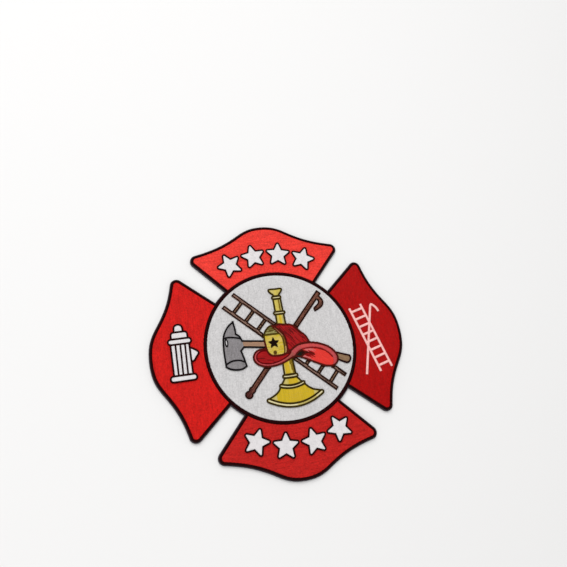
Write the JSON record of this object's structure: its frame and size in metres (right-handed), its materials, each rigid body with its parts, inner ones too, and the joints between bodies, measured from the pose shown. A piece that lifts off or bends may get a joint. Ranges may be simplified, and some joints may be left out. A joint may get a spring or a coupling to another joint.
{
  "type": "service patch",
  "caption": "Flat embroidered fire service patch: a cross of red arms round a white disc with a helmet, axe, trumpet, ladder and pike pole, on a cut cloth ground.",
  "frame": {"origin": "middle of the underside of the cloth ground, under the centre disc", "axes": "+Z out of the embroidered face, +Y towards the top arm, +X towards the arm with the hook and ladder"},
  "size_m": [0.1154, 0.1158, 0.0022],
  "materials": {
    "ground_cloth": "woven twill, dark",
    "red_thread": "embroidery thread, satin sheen",
    "white_thread": "embroidery thread, satin sheen",
    "black_thread": "embroidery thread, satin sheen",
    "yellow_thread": "embroidery thread, satin sheen",
    "pale_thread": "embroidery thread, satin sheen",
    "olive_thread": "embroidery thread, satin sheen",
    "wood_thread": "embroidery thread, satin sheen",
    "brown_thread": "embroidery thread, satin sheen",
    "grey_thread": "embroidery thread, satin sheen",
    "helmet_thread": "embroidery thread, satin sheen",
    "roll_thread": "embroidery thread, satin sheen",
    "underside_thread": "embroidery thread, satin sheen"
  },
  "bodies": {
    "root": {"ground": "ground_cloth", "arm_field_top": "red_thread", "arm_field_right": "red_thread", "arm_field_bottom": "red_thread", "arm_field_left": "red_thread", "centre_field": "white_thread", "centre_ring": "black_thread", "arm_border_top": "black_thread", "arm_border_right": "black_thread", "arm_border_bottom": "black_thread", "arm_border_left": "black_thread", "star_top_1": "white_thread", "star_top_2": "white_thread", "star_top_3": "white_thread", "star_top_4": "white_thread", "star_edges_top": "black_thread", "star_bottom_1": "white_thread", "star_bottom_2": "white_thread", "star_bottom_3": "white_thread", "star_bottom_4": "white_thread", "star_edges_bottom": "black_thread", "hydrant_cap": "white_thread", "hydrant_bonnet": "white_thread", "hydrant_flange": "white_thread", "hydrant_barrel": "white_thread", "hydrant_outlet": "white_thread", "hydrant_base": "white_thread", "hydrant_outline": "black_thread", "side_hook_and_ladder": "white_thread", "helmet_crown": "helmet_thread", "helmet_brim": "helmet_thread", "helmet_brim_roll": "roll_thread", "helmet_brim_underside": "underside_thread", "helmet_shield": "yellow_thread", "helmet_shield_side": "wood_thread", "helmet_shield_crest": "olive_thread", "helmet_shield_star": "black_thread", "helmet_outline": "black_thread", "axe_head": "grey_thread", "axe_handle": "wood_thread", "axe_outline": "black_thread", "axe_handle_end": "wood_thread", "axe_handle_end_outline": "black_thread", "trumpet_mouthpiece": "yellow_thread", "trumpet_tube_upper": "yellow_thread", "trumpet_tube_middle": "yellow_thread", "trumpet_tube_lower": "yellow_thread", "trumpet_throat": "yellow_thread", "trumpet_bell": "yellow_thread", "trumpet_band_1": "pale_thread", "trumpet_band_2": "pale_thread", "trumpet_band_3": "pale_thread", "trumpet_band_4": "pale_thread", "trumpet_bell_rim": "pale_thread", "trumpet_outline_upper": "black_thread", "trumpet_outline_lower": "black_thread", "ladder_upper": "brown_thread", "ladder_lower": "brown_thread", "pike_pole_upper": "brown_thread", "pike_pole_lower": "brown_thread"}
  },
  "joints": []
}
